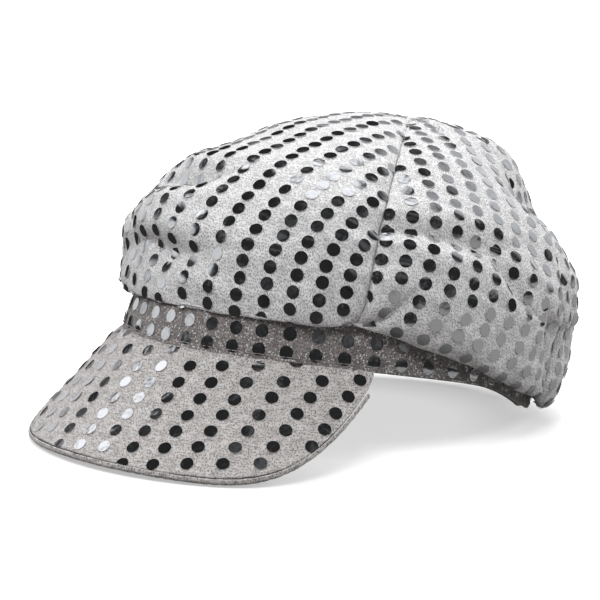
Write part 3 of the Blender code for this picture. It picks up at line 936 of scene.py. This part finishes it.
def stitch_line(name, place, count, pitch, thickness, material):
    """Running stitches: place(s) gives the point and the way out, s from 0 to 1."""
    bm = bmesh.new()
    for k in range(count):
        rings = []
        for j in range(6):
            share = (k + 0.08 + 0.84 * j / 5) * pitch
            at, out = place(share)
            ahead, _ = place(share + 0.0001)
            along = (ahead - at).normalized()
            side = along.cross(out).normalized()
            rise = thickness * (0.9 - 1.9 * (2 * j / 5 - 1) ** 4)
            rings.append([bm.verts.new(at + out * (rise + math.sin(a) * thickness)
                                       + side * (math.cos(a) * thickness))
                          for a in (0.0, 1.257, 2.513, 3.770, 5.027)])
        for low, high in zip(rings, rings[1:]):
            for a in range(5):
                b = (a + 1) % 5
                bm.faces.new((low[a], low[b], high[b], high[a]))
        bm.faces.new(rings[0])
        bm.faces.new(list(reversed(rings[-1])))
    bmesh.ops.recalc_face_normals(bm, faces=bm.faces)
    mesh = bpy.data.meshes.new(name)
    bm.to_mesh(mesh)
    bm.free()
    mesh.shade_smooth()
    mesh.materials.append(material)
    line = bpy.data.objects.new(name, mesh)
    bpy.context.scene.collection.objects.link(line)
    lay_on_table(line)
    bend_with_visor(line)
    return line


clear_thread = thread_material("clear_thread", (0.50, 0.49, 0.48), 0.25)
grey_thread = thread_material("grey_thread", (0.42, 0.42, 0.43), 0.6)


def on_band(out, height):
    def place(share):
        angle = 2 * math.pi * share
        at = band_point(angle, out, height)
        return at, Vector((math.sin(angle), -math.cos(angle), 0.14)) * (1 if out > -0.002 else -1)
    return place


stitch_line("band_topstitch", on_band(0.00035, 0.0031), STITCHES, 1 / STITCHES,
            THREAD_CLEAR, clear_thread)
stitch_line("sweatband_stitch", on_band(-0.0040, 0.0036), STITCHES, 1 / STITCHES,
            THREAD_GREY, grey_thread)

# ---- Table, light and camera -------------------------------------------------------
# A plain white sweep under broad soft light, with the dark of the studio in front of it.
# For the camera alone the sweep glows though it is no lamp: least where the hat is near, a painted
# contact shadow, and most far off, a painted light that keeps it white far away.
CAMERA_AZIMUTH, CAMERA_HEIGHT = math.radians(43.109), math.radians(11.891)
CAMERA_ROLL, CAMERA_AWAY, CAMERA_LENS = math.radians(1.183), 1.5, 191.16


def studio_way(round_right, up):
    """A direction in degrees: round to the camera's right, and up."""
    turn = CAMERA_AZIMUTH + math.radians(round_right)
    up = math.radians(up)
    return Vector((math.sin(turn) * math.cos(up), -math.cos(turn) * math.cos(up), math.sin(up)))


bpy.ops.mesh.primitive_plane_add(size=12.0, location=(0.0, 0.0, 0.0))
floor = bpy.context.active_object
floor.name = "floor"
floor_white, tree, shader = new_material("floor_white")
ray = node(tree, "ShaderNodeLightPath", (-900, 0)).outputs
spot = node(tree, "ShaderNodeTexCoord", (-1500, 300)).outputs["Object"]
# The low sequins mirror the table in a tone set for mirror rays alone, a painted reflection: dark
# on the hat's right, light on its left.
to_left = node(tree, "ShaderNodeVectorMath", (-1250, 300), {0: spot, 1: studio_way(90.0, 0.0)},
               operation="DOT_PRODUCT")
painted_reflection_tone = node(tree, "ShaderNodeMapRange", (-1000, 300),
                {"Value": to_left.outputs["Value"], "From Min": -0.02, "From Max": 0.16,
                 "To Min": 0.015, "To Max": 0.17})
# To the hat's diffuse light the table is a dark grey, darker than the camera sees it: painted shade
# that keeps bounce off the band and the hat's underside.
unseen = node(tree, "ShaderNodeMix", (-400, 100), data_type="RGBA")
wire(tree, unseen, {"Factor": ray["Is Glossy Ray"], "A": (0.26, 0.25, 0.245, 1.0),
                    "B": painted_reflection_tone.outputs["Result"]})
colour = node(tree, "ShaderNodeMix", (-200, 100), data_type="RGBA")
wire(tree, colour, {"Factor": ray["Is Camera Ray"], "A": unseen.outputs["Result"],
                    "B": (0.60, 0.60, 0.60, 1.0)})
# Painted light: the camera's glow grows with distance from the hat.
away = node(tree, "ShaderNodeVectorMath", (-1250, -450), {0: spot}, operation="LENGTH")
far_glow = node(tree, "ShaderNodeMapRange", (-900, -450),
                {"Value": away.outputs["Value"], "From Min": 0.25, "From Max": 1.00,
                 "To Min": 0.66, "To Max": 1.00})
# Painted contact shadow: ambient occlusion cuts the camera's glow down where the hat is near.
clear = node(tree, "ShaderNodeAmbientOcclusion", (-900, -300), {"Distance": 0.035}, samples=8)
painted_glow_and_shadow = node(tree, "ShaderNodeMapRange", (-650, -300),
            {"Value": clear.outputs["AO"], "To Min": 0.36, "To Max": far_glow.outputs["Result"]})
seen_glow = node(tree, "ShaderNodeMath", (-400, -150),
                 {0: ray["Is Camera Ray"], 1: painted_glow_and_shadow.outputs["Result"]}, operation="MULTIPLY")
wire(tree, shader, {"Base Color": colour.outputs["Result"], "Roughness": 0.95,
                    "Specular IOR Level": 0.0, "Emission Color": (1.0, 1.0, 1.0, 1.0),
                    "Emission Strength": seen_glow.outputs[0]})
floor.data.materials.append(floor_white)

# What the sequins mirror: a dark room with a few soft lights, given as (degrees round from
# the camera to its right, degrees up, inner and outer half angle, brightness).
MIRRORED_LIGHTS = (
    (180.0, 66.0, 3.0, 15.0, 1.10),
    (-128.0, 42.0, 4.0, 13.0, 1.10),
    (-105.0, 10.0, 10.0, 22.0, 0.62),
    (-142.0, 4.0, 10.0, 22.0, 0.62),
    (142.0, 26.0, 6.0, 30.0, 0.46),
    (165.0, 2.0, 8.0, 28.0, 0.40),
)
ROOM_DARK = 0.018
SEEN_WHITE, EVEN_LIGHT = 1.1, 0.24

scene = bpy.context.scene
world = bpy.data.worlds.new("studio")
scene.world = world
world.use_nodes = True
tree = world.node_tree
tree.nodes.clear()
ray = node(tree, "ShaderNodeLightPath", (0, 500)).outputs
way = node(tree, "ShaderNodeTexCoord", (-1400, -200)).outputs["Generated"]
so_far = ROOM_DARK
for round_right, up, inner, outer, bright in MIRRORED_LIGHTS:
    facing = node(tree, "ShaderNodeVectorMath", (-1100, -200),
                  {0: way, 1: studio_way(round_right, up)}, operation="DOT_PRODUCT")
    box = node(tree, "ShaderNodeMapRange", (-850, -200), interpolation_type="SMOOTHSTEP")
    wire(tree, box, {"Value": facing.outputs["Value"],
                     "From Min": math.cos(math.radians(outer)),
                     "From Max": math.cos(math.radians(inner)), "To Max": bright})
    so_far = node(tree, "ShaderNodeMath", (-600, -200), {0: box.outputs["Result"], 1: so_far},
                  operation="ADD").outputs[0]
patches = node(tree, "ShaderNodeTexNoise", (-850, -500),
               {"Vector": way, "Scale": 5.0, "Detail": 3.0})
patch_light = node(tree, "ShaderNodeMapRange", (-600, -500),
                   {"Value": patches.outputs["Fac"], "From Min": 0.52, "From Max": 0.78,
                    "To Max": 0.13})
room_light = node(tree, "ShaderNodeMath", (-380, -300),
                  {0: so_far, 1: patch_light.outputs["Result"]}, operation="ADD")
white = node(tree, "ShaderNodeBackground", (300, 300),
             {"Color": (1.0, 1.0, 1.0, 1.0), "Strength": SEEN_WHITE})
even = node(tree, "ShaderNodeBackground", (300, 100),
            {"Color": (1.0, 1.0, 1.0, 1.0), "Strength": EVEN_LIGHT})
room = node(tree, "ShaderNodeBackground", (300, -100),
            {"Color": (0.96, 0.98, 1.0, 1.0), "Strength": room_light.outputs[0]})
lit = node(tree, "ShaderNodeMixShader", (550, 0),
           {"Fac": ray["Is Glossy Ray"], 1: even.outputs[0], 2: room.outputs[0]})
seen = node(tree, "ShaderNodeMixShader", (720, 100),
            {"Fac": ray["Is Camera Ray"], 1: lit.outputs[0], 2: white.outputs[0]})
node(tree, "ShaderNodeOutputWorld", (900, 0), {"Surface": seen.outputs[0]})
scene.view_settings.view_transform = "Standard"

# Each softbox: where it hangs, the height it aims at over the middle, its side and watts.
SOFTBOXES = {
    "overhead_softbox": ((-0.45, 0.55, 1.25), 0.05, 0.9, 17.0),
    "left_softbox": ((-0.9, -1.2, 1.5), 0.08, 0.7, 17.0),
    "front_softbox": ((0.95, -1.15, 1.75), 0.08, 0.8, 27.0),
    "right_softbox": ((1.0, 1.35, 0.8), 0.06, 0.6, 15.0),
}
for name, (place, aim_height, side, watts) in SOFTBOXES.items():
    lamp = bpy.data.lights.new(name, "AREA")
    lamp.shape = "RECTANGLE"
    lamp.size, lamp.size_y = side, side
    lamp.energy = watts
    box = bpy.data.objects.new(name, lamp)
    scene.collection.objects.link(box)
    box.location = place
    aim = Vector((0.0, 0.0, aim_height))
    box.rotation_euler = (aim - Vector(place)).to_track_quat("-Z", "Y").to_euler()
    box.visible_glossy = False

camera_data = bpy.data.cameras.new("camera")
camera = bpy.data.objects.new("camera", camera_data)
scene.collection.objects.link(camera)
scene.camera = camera
away = studio_way(0.0, math.degrees(CAMERA_HEIGHT))
aim = on_table(Vector((0.0, 0.0, -0.0028)))
look = (-away).to_track_quat("-Z", "Y").to_matrix()
camera.matrix_world = (Matrix.Translation(aim + away * CAMERA_AWAY)
                       @ (look @ Matrix.Rotation(CAMERA_ROLL, 3, "Z")).to_4x4())
camera_data.sensor_width, camera_data.lens = 36.0, CAMERA_LENS
camera_data.shift_x, camera_data.shift_y = -26.0 / 600.0, 75.0 / 600.0
camera_data.clip_end = 30.0
